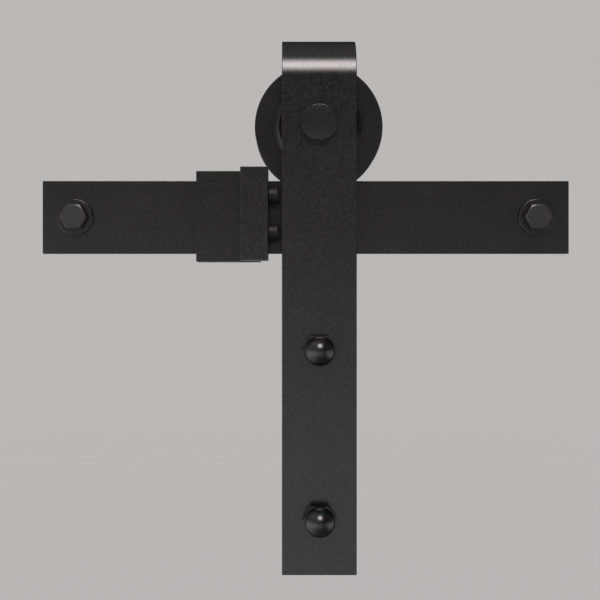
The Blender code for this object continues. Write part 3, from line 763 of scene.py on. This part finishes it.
def make_stop_bar():
    lowest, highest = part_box("stop_bar")
    bar = make_object("stop_bar", box_mesh(lowest, highest))
    round_edges(bar, 0.2 * MM, 3)
    tools = []
    for level in ("upper", "lower"):
        screw = "stop_bar_screw_" + level
        spot = middle(screw)
        blind = blind_hole(SCREW_HOLE, front_of(screw) + SLEEVE_CLEARANCE, -highest.y)
        tools.append(make_object("tool", swept_mesh(blind, FINE), (spot.x, 0, spot.z), TO_ROOM))
        stud_low, stud_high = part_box("bumper_stud_" + level)
        spot = middle("bumper_stud_" + level)
        hole = (stud_high.z - stud_low.z) / 2 + SLEEVE_CLEARANCE
        blind = blind_hole(hole, stud_low.x - SLEEVE_CLEARANCE, highest.x)
        tools.append(make_object("tool", swept_mesh(blind, FINE), (0, spot.y, spot.z), TO_RIGHT))
    cut(bar, tools)
    finish(bar, "stop_bar", BLACK_COAT)


def make_bumper(node, stud):
    """Moulded rubber bumper: slightly barrelled, with a parting line round its middle."""
    left, right = low(node).x, high(node).x
    radius = (high(node).z - low(node).z) / 2
    hole = (high(stud).z - low(stud).z) / 2 + SLEEVE_CLEARANCE
    hole_end = high(stud).x + SLEEVE_CLEARANCE
    seam = left + 0.45 * (right - left)
    corners = [
        (hole, left, 0.2 * MM),
        (radius - 0.05 * MM, left, 0.3 * MM),
        (radius - 0.02 * MM, seam - 0.25 * MM),
        (radius, seam - 0.06 * MM),
        (radius, seam + 0.06 * MM),
        (radius - 0.02 * MM, seam + 0.25 * MM),
        (radius - 0.06 * MM, right, 1.15 * MM),
        (1.6 * MM, right, 0.3 * MM),
        (1.4 * MM, right - 0.25 * MM, 0.2 * MM),
        (0, right - 0.25 * MM),
        (0, hole_end),
        (hole, hole_end),
    ]
    turned(node, corners, RUBBER, TO_RIGHT, FINE)


def make_stud(node):
    radius = (high(node).z - low(node).z) / 2
    left, right = low(node).x, high(node).x
    pitch = 0.7 * MM

    def shape(tag, r, height, angle):
        return r - 0.38 * MM * thread_valley(height, angle, pitch, SMALL_CREST)

    corners = [
        (0, left),
        (radius - 0.5 * MM, left),
        (radius, left + 0.5 * MM, 0, "thread"),
        (radius, right - 0.5 * MM, 0, "thread"),
        (radius - 0.5 * MM, right),
        (0, right),
    ]
    turned(node, corners, ZINC, TO_RIGHT, FINE, shape)


# ---------------------------------------------------------------- strap hanger
M10 = 5.0 * MM
M10_HOLE = 5.3 * MM
M10_PITCH = 1.5 * MM
M10_DEPTH = 0.90 * MM
M10_CREST = 0.14
STRAP_THICKNESS = 6.0 * MM


def bolt_thread(start, end):
    """Shape function for an M10 thread that runs out at both ends of its stretch."""
    def shape(tag, radius, height, angle):
        if tag != "thread":
            return radius
        fade = min(1.0, max(0.0, (height - start) / (1.2 * MM)), max(0.0, (end - height) / (1.2 * MM)))
        return radius - M10_DEPTH * fade * thread_valley(height, angle, M10_PITCH, M10_CREST)

    return shape


def make_strap():
    lowest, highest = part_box("strap")
    outer = (highest.y - lowest.y) / 2
    inner = outer - STRAP_THICKNESS
    bend_z = highest.z - outer
    rear_end = high("rail").z + 11 * MM
    steps = 72
    outline = [(outer, lowest.z)]
    outline += [p[:2] for p in arc(0, bend_z, outer, 0, math.pi, steps)]
    outline += [(-outer, rear_end), (-inner, rear_end)]
    outline += [p[:2] for p in arc(0, bend_z, inner, math.pi, 0, steps)]
    outline += [(inner, lowest.z)]
    bm = bmesh.new()
    face = bm.faces.new([bm.verts.new((lowest.x, -f, z)) for f, z in outline])
    grown = bmesh.ops.extrude_face_region(bm, geom=[face])
    moved = [item for item in grown["geom"] if isinstance(item, bmesh.types.BMVert)]
    bmesh.ops.translate(bm, verts=moved, vec=(highest.x - lowest.x, 0, 0))
    strap = make_object("strap", bm)
    round_edges(strap, 0.35 * MM)
    axle_z = middle("wheel").z
    tools = [
        hole_tool(M10_HOLE, inner, outer, (0, 0, axle_z), TO_ROOM),
        hole_tool(M10_HOLE, -outer, -inner, (0, 0, axle_z), TO_ROOM),
    ]
    for level in ("upper", "lower"):
        z = middle("cap_nut_" + level).z
        tools.append(hole_tool(M10_HOLE, inner, outer, (0, 0, z), TO_ROOM))
    cut(strap, tools)
    finish(strap, "strap", BLACK_COAT)


AXLE_CROWN = 0.3 * MM       # rise of the head's face from its rim to its middle


def make_axle():
    tail, head_front = back_of("axle_bolt"), front_of("axle_bolt")
    head = radius_of("axle_bolt")
    head_back = front_of("strap") + 0.3 * MM
    thread_end = tail + 15 * MM
    corners = [
        (0, tail),
        (M10 - 1.0 * MM, tail),
        (M10, tail + 1.0 * MM, 0, "thread"),
        (M10, thread_end, 0, "thread"),
        (M10, head_back, 0.2 * MM, ""),
        (head, head_back, 0.9 * MM),
        (head, head_front - AXLE_CROWN, 0.28 * MM),
    ]
    corners += [(head * out, head_front - AXLE_CROWN * out ** 2, 0.3 * MM) for out in (0.75, 0.5, 0.25)]
    corners.append((0, head_front))
    turned("axle_bolt", corners, HEAD_COAT, shape=bolt_thread(tail, thread_end))


def make_lock_nut():
    """Hexagon nut whose round collar is rolled over a nylon ring."""
    front, back = front_of("axle_lock_nut"), back_of("axle_lock_nut")
    ring_front, ring_back = front_of("axle_nut_nylon_ring"), back_of("axle_nut_nylon_ring")
    ring = radius_of("axle_nut_nylon_ring")
    flats = high("axle_lock_nut").z - low("axle_lock_nut").z
    flat = flats / 2
    corner = flat / math.cos(math.pi / 6)
    slope = (corner - flat) * math.tan(math.pi / 6)
    hex_back = front - 7 * MM
    corners = [
        (M10_HOLE, front, 0.3 * MM),
        (flat * 0.95, front),
        (flat * 0.97, front, 0, "hex"),
        (corner, front - slope, 0, "hex"),
        (corner, hex_back + slope, 0, "hex"),
        (flat * 0.97, hex_back, 0, "hex"),
        (flat - 0.8 * MM, hex_back, 0.3 * MM, ""),
        (flat - 1.3 * MM, back, 0.7 * MM, ""),
        (ring - 0.2 * MM, back, 0.1 * MM, ""),
        (ring + 0.25 * MM, back + 0.3 * MM, 0.1 * MM, ""),
        (ring + 0.25 * MM, ring_front + 0.3 * MM, 0, ""),
        (M10_HOLE, ring_front + 0.3 * MM, 0, ""),
    ]
    turned("axle_lock_nut", corners, ZINC, shape=hexagon(flats))
    corners = [
        (M10_HOLE, ring_back, 0.3 * MM),
        (ring, ring_back, 0.2 * MM),
        (ring, ring_front, 0.2 * MM),
        (M10_HOLE, ring_front, 0.3 * MM),
    ]
    turned("axle_nut_nylon_ring", corners, NYLON, segments=FINE)


def make_bush(node):
    outer = radius_of(node)
    corners = [
        (M10_HOLE, back_of(node), 0.25 * MM),
        (outer, back_of(node), 0.35 * MM),
        (outer, front_of(node), 0.35 * MM),
        (M10_HOLE, front_of(node), 0.25 * MM),
    ]
    turned(node, corners, ZINC, segments=FINE)


def make_cap_nut(node):
    """Dome nut: chamfered hexagon with a turned neck and a half-round dome."""
    seat, top = back_of(node), front_of(node)
    flats = high(node).z - low(node).z
    flat = flats / 2
    corner = flat / math.cos(math.pi / 6)
    trimmed = corner - 0.35 * MM
    slope = (corner - trimmed) * math.tan(math.pi / 6)
    dome = flat - 0.1 * MM
    dome_base = top - dome
    hex_front = dome_base - 1.1 * MM
    bore_end = seat + 13 * MM
    corners = [
        (M10_HOLE, seat, 0.3 * MM, ""),
        (flat * 0.94, seat, 0, ""),
        (flat * 0.96, seat, 0, "hex"),
        (trimmed, seat, 0, "hex"),
        (corner, seat + slope, 0, "hex"),
        (corner, hex_front - slope, 0, "hex"),
        (trimmed, hex_front, 0, "hex"),
        (dome + 0.05 * MM, hex_front, 0, "hex"),
        (dome - 0.15 * MM, hex_front, 0, ""),
    ]
    dome_arc = arc(0, dome_base, dome, 0, math.pi / 2, 32)
    dome_arc[-1] = (0, top, 0, "")
    corners += dome_arc
    corners += [(0, bore_end + 2 * MM, 0, ""), (M10_HOLE, bore_end, 0.4 * MM, "")]
    turned(node, corners, GLOSS, segments=ROUND, shape=hexagon(flats, 0.03 * MM))


def make_door_bolt(node):
    """Low round head with a hexagon socket, plain neck and an M10 thread."""
    head_back, tip = back_of(node), front_of(node)
    head = radius_of(node)
    head_front = head_back + 4 * MM
    thread_start = head_front + 16 * MM
    flats = 6 * MM
    hexagonal = socket(flats)
    thread = bolt_thread(thread_start, tip)

    def shape(tag, radius, height, angle):
        if tag == "socket":
            return hexagonal(tag, radius, height, angle)
        return thread(tag, radius, height, angle)

    corners = [
        (0, head_back + 3.1 * MM),
        (flats / 2, head_back + 2.6 * MM, 0, "socket"),
        (flats / 2, head_back + 0.3 * MM, 0, "socket"),
        (flats / 2 + 0.8 * MM, head_back, 0.2 * MM, ""),
        (head * 0.58, head_back, 2.0 * MM, ""),
        (head, head_front - 1.3 * MM, 0.8 * MM, ""),
        (head, head_front, 0.25 * MM, ""),
        (M10, head_front, 0.3 * MM, ""),
        (M10, thread_start, 0, "thread"),
        (M10, tip - 1.0 * MM, 0, "thread"),
        (M10 - 1.0 * MM, tip, 0.1 * MM, ""),
        (0, tip),
    ]
    turned(node, corners, OXIDE, shape=shape)


# ---------------------------------------------------------------- wheel and bearing
TREAD = 28.7 * MM
GROOVE_HALF = 3.6 * MM
SHOULDER = 13.0 * MM
LAND_PLAY = 1.9 * MM
LIP_HEIGHT = 0.6 * MM
LIP_FOOT = 24.3 * MM
LIP_RISE = 23.2 * MM
LIP_CREST = 21.55 * MM
HUB_RECESS = 21.25 * MM
HUB_DEPTH = 1.5 * MM


def wheel_side(sign):
    crest = front_of("wheel")
    face = crest - LIP_HEIGHT
    rim = radius_of("wheel")
    corners = [
        (TREAD, GROOVE_HALF, 0.8 * MM),
        (rim, GROOVE_HALF + 0.7 * MM, 1.0 * MM),
        (rim, face, 0.3 * MM),
        (LIP_FOOT, face, 2.0 * MM),
        (LIP_RISE, face + 0.25 * LIP_HEIGHT, 1.0 * MM),
        (LIP_CREST, crest, 0.3 * MM),
        (HUB_RECESS, crest - 0.1 * MM, 0.1 * MM),
        (HUB_RECESS - 0.05 * MM, face - HUB_DEPTH, 0.4 * MM),
    ]
    return [(r, sign * f, edge, "") for r, f, edge in corners]


def make_wheel():
    floor = front_of("wheel") - LIP_HEIGHT - HUB_DEPTH
    half_bearing = front_of("bearing_outer_ring")
    bore = radius_of("bearing_outer_ring") + SLEEVE_CLEARANCE
    clip_front, clip_back = front_of("circlip"), back_of("circlip")
    clip = 16.3 * MM
    corners = wheel_side(1)
    corners += [
        (SHOULDER, floor, 0.5 * MM, ""),
        (SHOULDER, half_bearing + SLEEVE_CLEARANCE, 0, ""),
        (bore, half_bearing + SLEEVE_CLEARANCE, 0, ""),
        (bore, clip_front + SLEEVE_CLEARANCE, 0, ""),
        (clip, clip_front + SLEEVE_CLEARANCE, 0, ""),
        (clip, clip_back - SLEEVE_CLEARANCE, 0, ""),
        (bore, clip_back - SLEEVE_CLEARANCE, 0, ""),
        (bore, -floor, 0.5 * MM, ""),
    ]
    corners += list(reversed(wheel_side(-1)))
    turned("wheel", corners, WHEEL_COAT, segments=ROUND + 64)


def make_circlip():
    """Open spring ring with an eared end on each side of its gap."""
    outer = 16.0 * MM
    inner = 13.6 * MM
    ear = 11.0 * MM
    hole = 0.9 * MM
    start = math.radians(14)
    end = 2 * math.pi - start
    span = math.radians(20)
    outline = arc(0, 0, outer, start, end, 160)
    outline += arc(0, 0, ear, end, end - span, 12)
    outline += arc(0, 0, inner, end - span, start + span, 160)
    outline += arc(0, 0, ear, start + span, start, 12)
    back, front = back_of("circlip"), front_of("circlip")
    bm = bmesh.new()
    face = bm.faces.new([bm.verts.new((*point[:2], back)) for point in outline])
    grown = bmesh.ops.extrude_face_region(bm, geom=[face])
    moved = [item for item in grown["geom"] if isinstance(item, bmesh.types.BMVert)]
    bmesh.ops.translate(bm, verts=moved, vec=(0, 0, front - back))
    centre = middle("wheel")
    place = (centre.x, 0, centre.z)
    clip = make_object("circlip", bm, place, TO_ROOM)
    round_edges(clip, 0.12 * MM, 2)
    tools = []
    for angle in (start + span / 2, end - span / 2):
        reach = (ear + outer) / 2
        spot = (place[0] + reach * math.cos(angle), 0, place[2] + reach * math.sin(angle))
        tools.append(hole_tool(hole, back, front, spot, TO_ROOM, 0.1 * MM))
    cut(clip, tools)
    finish(clip, "circlip", ZINC)


def race_arc(pitch, radius, centre_angle):
    half = math.acos(LAND_PLAY / radius)
    if centre_angle == 0:
        return arc(pitch, 0, radius, half, -half, 16)
    return arc(pitch, 0, radius, math.pi - half, math.pi + half, 16)


def ball_pitch():
    return (middle("bearing_ball_1") - middle("wheel")).length


def ball_radius():
    return (high("bearing_ball_1").z - low("bearing_ball_1").z) / 2


def make_bearing():
    pitch = ball_pitch()
    groove = ball_radius() + SLEEVE_CLEARANCE
    half = front_of("bearing_outer_ring")
    outer = radius_of("bearing_outer_ring")
    land = pitch + LAND_PLAY
    seat = land + 0.7 * MM
    step = half - 1.1 * MM
    corners = [
        (outer, -half, 0.5 * MM, ""),
        (outer, half, 0.5 * MM, ""),
        (seat, half, 0.15 * MM, ""),
        (seat, step, 0, ""),
        (land, step, 0.1 * MM, ""),
    ]
    corners += race_arc(pitch, groove, 0)
    corners += [(land, -step, 0.1 * MM, ""), (seat, -step, 0, ""), (seat, -half, 0.15 * MM, "")]
    turned("bearing_outer_ring", corners, GROUND_STEEL)

    land = pitch - LAND_PLAY
    corners = [(land, half, 0.4 * MM, "")]
    corners += race_arc(pitch, groove, math.pi)
    corners += [
        (land, -half, 0.4 * MM, ""),
        (M10_HOLE, -half, 0.4 * MM, ""),
        (M10_HOLE, half, 0.4 * MM, ""),
    ]
    turned("bearing_inner_ring", corners, GROUND_STEEL)
    for side, sign in (("front", 1), ("rear", -1)):
        make_shield("bearing_shield_" + side, sign)


def make_shield(node, sign):
    """Pressed steel shield: a shallow dish between its rim and its inner lip."""
    inner = ball_pitch() - LAND_PLAY + 0.4 * MM
    outer = radius_of(node)
    near, far = sorted((abs(back_of(node)), abs(front_of(node))))
    sheet = 0.25 * MM
    corners = [
        (inner, near),
        (inner + 0.7 * MM, near, 0.1 * MM, ""),
        (inner + 1.0 * MM, far - sheet, 0.1 * MM, ""),
        (outer - 0.9 * MM, far - sheet, 0.1 * MM, ""),
        (outer - 0.6 * MM, near, 0.1 * MM, ""),
        (outer, near),
        (outer, near + sheet),
        (outer - 0.5 * MM, near + sheet, 0.1 * MM, ""),
        (outer - 0.8 * MM, far, 0.1 * MM, ""),
        (inner + 0.9 * MM, far, 0.1 * MM, ""),
        (inner + 0.6 * MM, near + sheet, 0.1 * MM, ""),
        (inner, near + sheet),
    ]
    corners = [(c[0], sign * c[1], *c[2:]) for c in corners]
    turned(node, corners, GROUND_STEEL, segments=FINE)


def make_cage():
    lowest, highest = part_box("bearing_cage")
    pitch = ball_pitch()
    half_depth = (highest.x - lowest.x) / 2 - pitch
    half_width = highest.y
    edge = 0.15 * MM
    corners = [
        (pitch - half_depth, -half_width, edge),
        (pitch + half_depth, -half_width, edge),
        (pitch + half_depth, half_width, edge),
        (pitch - half_depth, half_width, edge),
    ]
    centre = middle("bearing_cage")
    cage = make_object("bearing_cage", swept_mesh(corners, ROUND), centre, TO_ROOM)
    tools = []
    for number in range(1, 9):
        spot = middle("bearing_ball_%d" % number)
        angle = math.atan2(spot.z - centre.z, spot.x - centre.x)
        pocket = [(0, -3 * MM), (ball_radius() + SLEEVE_CLEARANCE, -3 * MM),
                  (ball_radius() + SLEEVE_CLEARANCE, 3 * MM), (0, 3 * MM)]
        tools.append(make_object("tool", swept_mesh(pocket, 48), spot, (0, math.pi / 2 - angle, 0)))
        make_ball("bearing_ball_%d" % number, spot)
    cut(cage, tools)
    finish(cage, "bearing_cage", GROUND_STEEL)


def make_ball(node, spot):
    half_circle = arc(0, 0, ball_radius(), -math.pi / 2, math.pi / 2, 24)
    half_circle[0] = (0, -ball_radius(), 0, "")
    half_circle[-1] = (0, ball_radius(), 0, "")
    ball = make_object(node, swept_mesh(half_circle, 48), spot, TO_ROOM)
    finish(ball, node, GROUND_STEEL)


# ---------------------------------------------------------------- assembly
def make_pieces():
    make_rail()
    for side in FIXINGS:
        make_standoff("standoff_" + side)
        make_washer("lag_washer_" + side, LAG_SHANK + SLEEVE_CLEARANCE, BLACK_COAT)
        make_lag_bolt("lag_bolt_" + side)
        make_grub_screw("stop_grub_screw_" + side)
    make_stop_sleeve()
    make_stop_bar()
    for level in ("upper", "lower"):
        make_bar_screw("stop_bar_screw_" + level)
        make_bumper("bumper_" + level, "bumper_stud_" + level)
        make_stud("bumper_stud_" + level)
        make_cap_nut("cap_nut_" + level)
        make_door_bolt("door_bolt_" + level)
        make_washer("door_washer_" + level, M10_HOLE, BLACK_COAT)
    make_strap()
    make_axle()
    make_washer("axle_washer", M10_HOLE, ZINC)
    make_lock_nut()
    make_bush("axle_bush_front")
    make_bush("axle_bush_rear")
    make_wheel()
    make_circlip()
    make_bearing()
    make_cage()


# ---------------------------------------------------------------- studio
def aim(obj, target):
    obj.rotation_euler = (Vector(target) - obj.location).to_track_quat("-Z", "Y").to_euler()


def area_light(name, location, target, size, power, colour=(1, 1, 1)):
    data = bpy.data.lights.new(name, "AREA")
    data.shape = "RECTANGLE"
    data.size, data.size_y = size
    data.energy = power
    data.color = colour
    light = link(bpy.data.objects.new(name, data))
    light.location = location
    light.visible_camera = False
    aim(light, target)
    return light


FLOOR_Z = -0.50
FLOOR_SOLID = 1.2           # radius within which the floor is solid
FLOOR_GONE = 3.2            # radius at which it has faded into the background
SEEN_GREY = (0.500, 0.478, 0.465)
EVEN_LIGHT = (0.83, 0.83, 0.83)
ROOM_COLOUR = (1.0, 1.0, 0.93)
ROOM_BY_HEIGHT = (          # brightness of the room, -1 straight down to 1 straight up
    (-1.00, 0.20), (-0.80, 0.25), (-0.60, 0.45), (-0.35, 1.10), (-0.23, 1.15), (-0.17, 1.10),
    (-0.14, 1.04), (-0.10, 0.92), (-0.07, 0.81), (0.00, 0.64), (0.05, 0.49), (0.09, 0.36),
    (0.13, 0.20), (0.19, 0.07), (0.30, 0.06), (0.50, 0.14), (1.00, 0.40),
)
ROOM_BY_SIDE = (            # factor on it, -1 far left to 1 far right
    (-1.00, 1.20), (-0.80, 1.40), (-0.55, 1.36), (-0.36, 1.12), (-0.20, 1.08), (0.00, 1.00), (0.20, 0.88),
    (0.40, 0.60), (0.52, 0.38), (0.68, 0.38), (0.85, 1.30), (0.94, 1.40), (1.00, 1.10),
)
ROOM_GLOW = (               # added to it, so that the far left is bright at every height
    (-1.00, 0.45), (-0.50, 0.45), (-0.25, 0.00), (1.00, 0.00),
)
ROOM_BEHIND = (             # factor on it, -1 at the camera's end to 1 behind the wall
    (-1.00, 1.00), (-0.05, 1.00), (0.25, 0.74), (0.50, 0.44), (0.80, 0.12), (1.00, 0.20),
)


def make_floor():
    """Pale floor that fades into the background with distance from the object."""
    bm = bmesh.new()
    bmesh.ops.create_circle(bm, cap_ends=True, segments=128, radius=FLOOR_GONE)
    floor = make_object("floor", bm, (0, 0, FLOOR_Z))
    floor.visible_glossy = False
    n = Nodes("floor_paint")
    cloud = n.noise(1.5, 2.0)
    n.colour(n.mix(cloud, (0.585, 0.565, 0.550), (0.605, 0.585, 0.570)))
    n.set(Roughness=0.85, Specular_IOR_Level=0.1)
    distance = n.add("ShaderNodeVectorMath", operation="LENGTH")
    n.join(n.place, distance.inputs[0])
    solid = n.remap(distance.outputs["Value"], FLOOR_SOLID, FLOOR_GONE, 1.0, 0.0)
    n.join(solid, n.shader.inputs["Alpha"])
    floor.data.materials.append(n.material)


def make_world():
    """Pale background, even light on every side, and a room graded by height in reflections."""
    world = bpy.data.worlds.new("studio")
    bpy.context.scene.world = world
    world.use_nodes = True
    world.cycles.sampling_method = "NONE"
    nodes = world.node_tree.nodes
    join = world.node_tree.links.new

    place = nodes.new("ShaderNodeTexCoord").outputs["Generated"]
    split = nodes.new("ShaderNodeSeparateXYZ")
    join(place, split.inputs["Vector"])
    shade = None
    for axis, levels, operation in (
        ("Z", ROOM_BY_HEIGHT, "MULTIPLY"),
        ("X", ROOM_BY_SIDE, "MULTIPLY"),
        ("X", ROOM_GLOW, "ADD"),
        ("Y", ROOM_BEHIND, "MULTIPLY"),
    ):
        level = nodes.new("ShaderNodeMapRange")
        level.inputs["From Min"].default_value = -1
        join(split.outputs[axis], level.inputs["Value"])
        ramp = nodes.new("ShaderNodeValToRGB")
        stops = ramp.color_ramp.elements
        while len(stops) < len(levels):
            stops.new(0.5)
        for stop, (position, grey) in zip(stops, levels):
            stop.position = (position + 1) / 2
            stop.color = (grey, grey, grey, 1)
        join(level.outputs["Result"], ramp.inputs["Fac"])
        level_sum = nodes.new("ShaderNodeMath")
        level_sum.operation = operation
        level_sum.inputs[1].default_value = 1
        join(ramp.outputs["Color"], level_sum.inputs[0])
        if shade:
            join(shade, level_sum.inputs[1])
        shade = level_sum.outputs["Value"]

    room = nodes.new("ShaderNodeBackground")
    room.inputs["Color"].default_value = (*ROOM_COLOUR, 1)
    join(shade, room.inputs["Strength"])
    even = nodes.new("ShaderNodeBackground")
    even.inputs["Color"].default_value = (*EVEN_LIGHT, 1)
    seen = nodes["Background"]
    seen.inputs["Color"].default_value = (*SEEN_GREY, 1)
    path = nodes.new("ShaderNodeLightPath")
    surface = even.outputs["Background"]
    for ray, background in (("Is Glossy Ray", room), ("Is Camera Ray", seen)):
        mix = nodes.new("ShaderNodeMixShader")
        join(path.outputs[ray], mix.inputs["Fac"])
        join(surface, mix.inputs[1])
        join(background.outputs["Background"], mix.inputs[2])
        surface = mix.outputs["Shader"]
    join(surface, nodes["World Output"].inputs["Surface"])


PANEL_TARGET = Vector((0, -0.02, 0.061))
PANEL_RISE = math.radians(42)
PANEL_DISTANCE = 2.5
PANEL_WIDTH = 1.15
PANEL_HEIGHTS = (1.45, 1.05, 0.65)
PANEL_RADIANCE = 17.6
PANEL_COLOUR = (1.0, 0.90, 0.90)


def make_lights():
    """An overhead panel, brighter towards its middle, that shows only as a highlight."""
    offset = Vector((0.012, -math.cos(PANEL_RISE), math.sin(PANEL_RISE))) * PANEL_DISTANCE
    for number, height in enumerate(PANEL_HEIGHTS):
        place = PANEL_TARGET + offset * (1 + 0.002 * number)
        size = (PANEL_WIDTH, height)
        power = PANEL_RADIANCE * math.pi * PANEL_WIDTH * height / len(PANEL_HEIGHTS)
        panel = area_light("panel_%d" % number, place, PANEL_TARGET, size, power, PANEL_COLOUR)
        panel.visible_diffuse = False
        panel.data.cycles.max_bounces = 0


CAMERA_PLACE = (-0.0162, -0.6187, -0.06558)
CAMERA_LENS = 67.02         # on a 36 mm sensor
CAMERA_SHIFT = 0.0183


def make_camera():
    """Level camera straight in front, a little below the rail."""
    data = bpy.data.cameras.new("camera")
    data.sensor_width = 36.0
    data.lens = CAMERA_LENS
    data.shift_x = CAMERA_SHIFT
    camera = link(bpy.data.objects.new("camera", data))
    camera.location = CAMERA_PLACE
    camera.rotation_euler = (math.pi / 2, 0, 0)
    bpy.context.scene.camera = camera
    bpy.context.scene.view_settings.view_transform = "Standard"


make_camera()
make_pieces()
make_floor()
make_world()
make_lights()
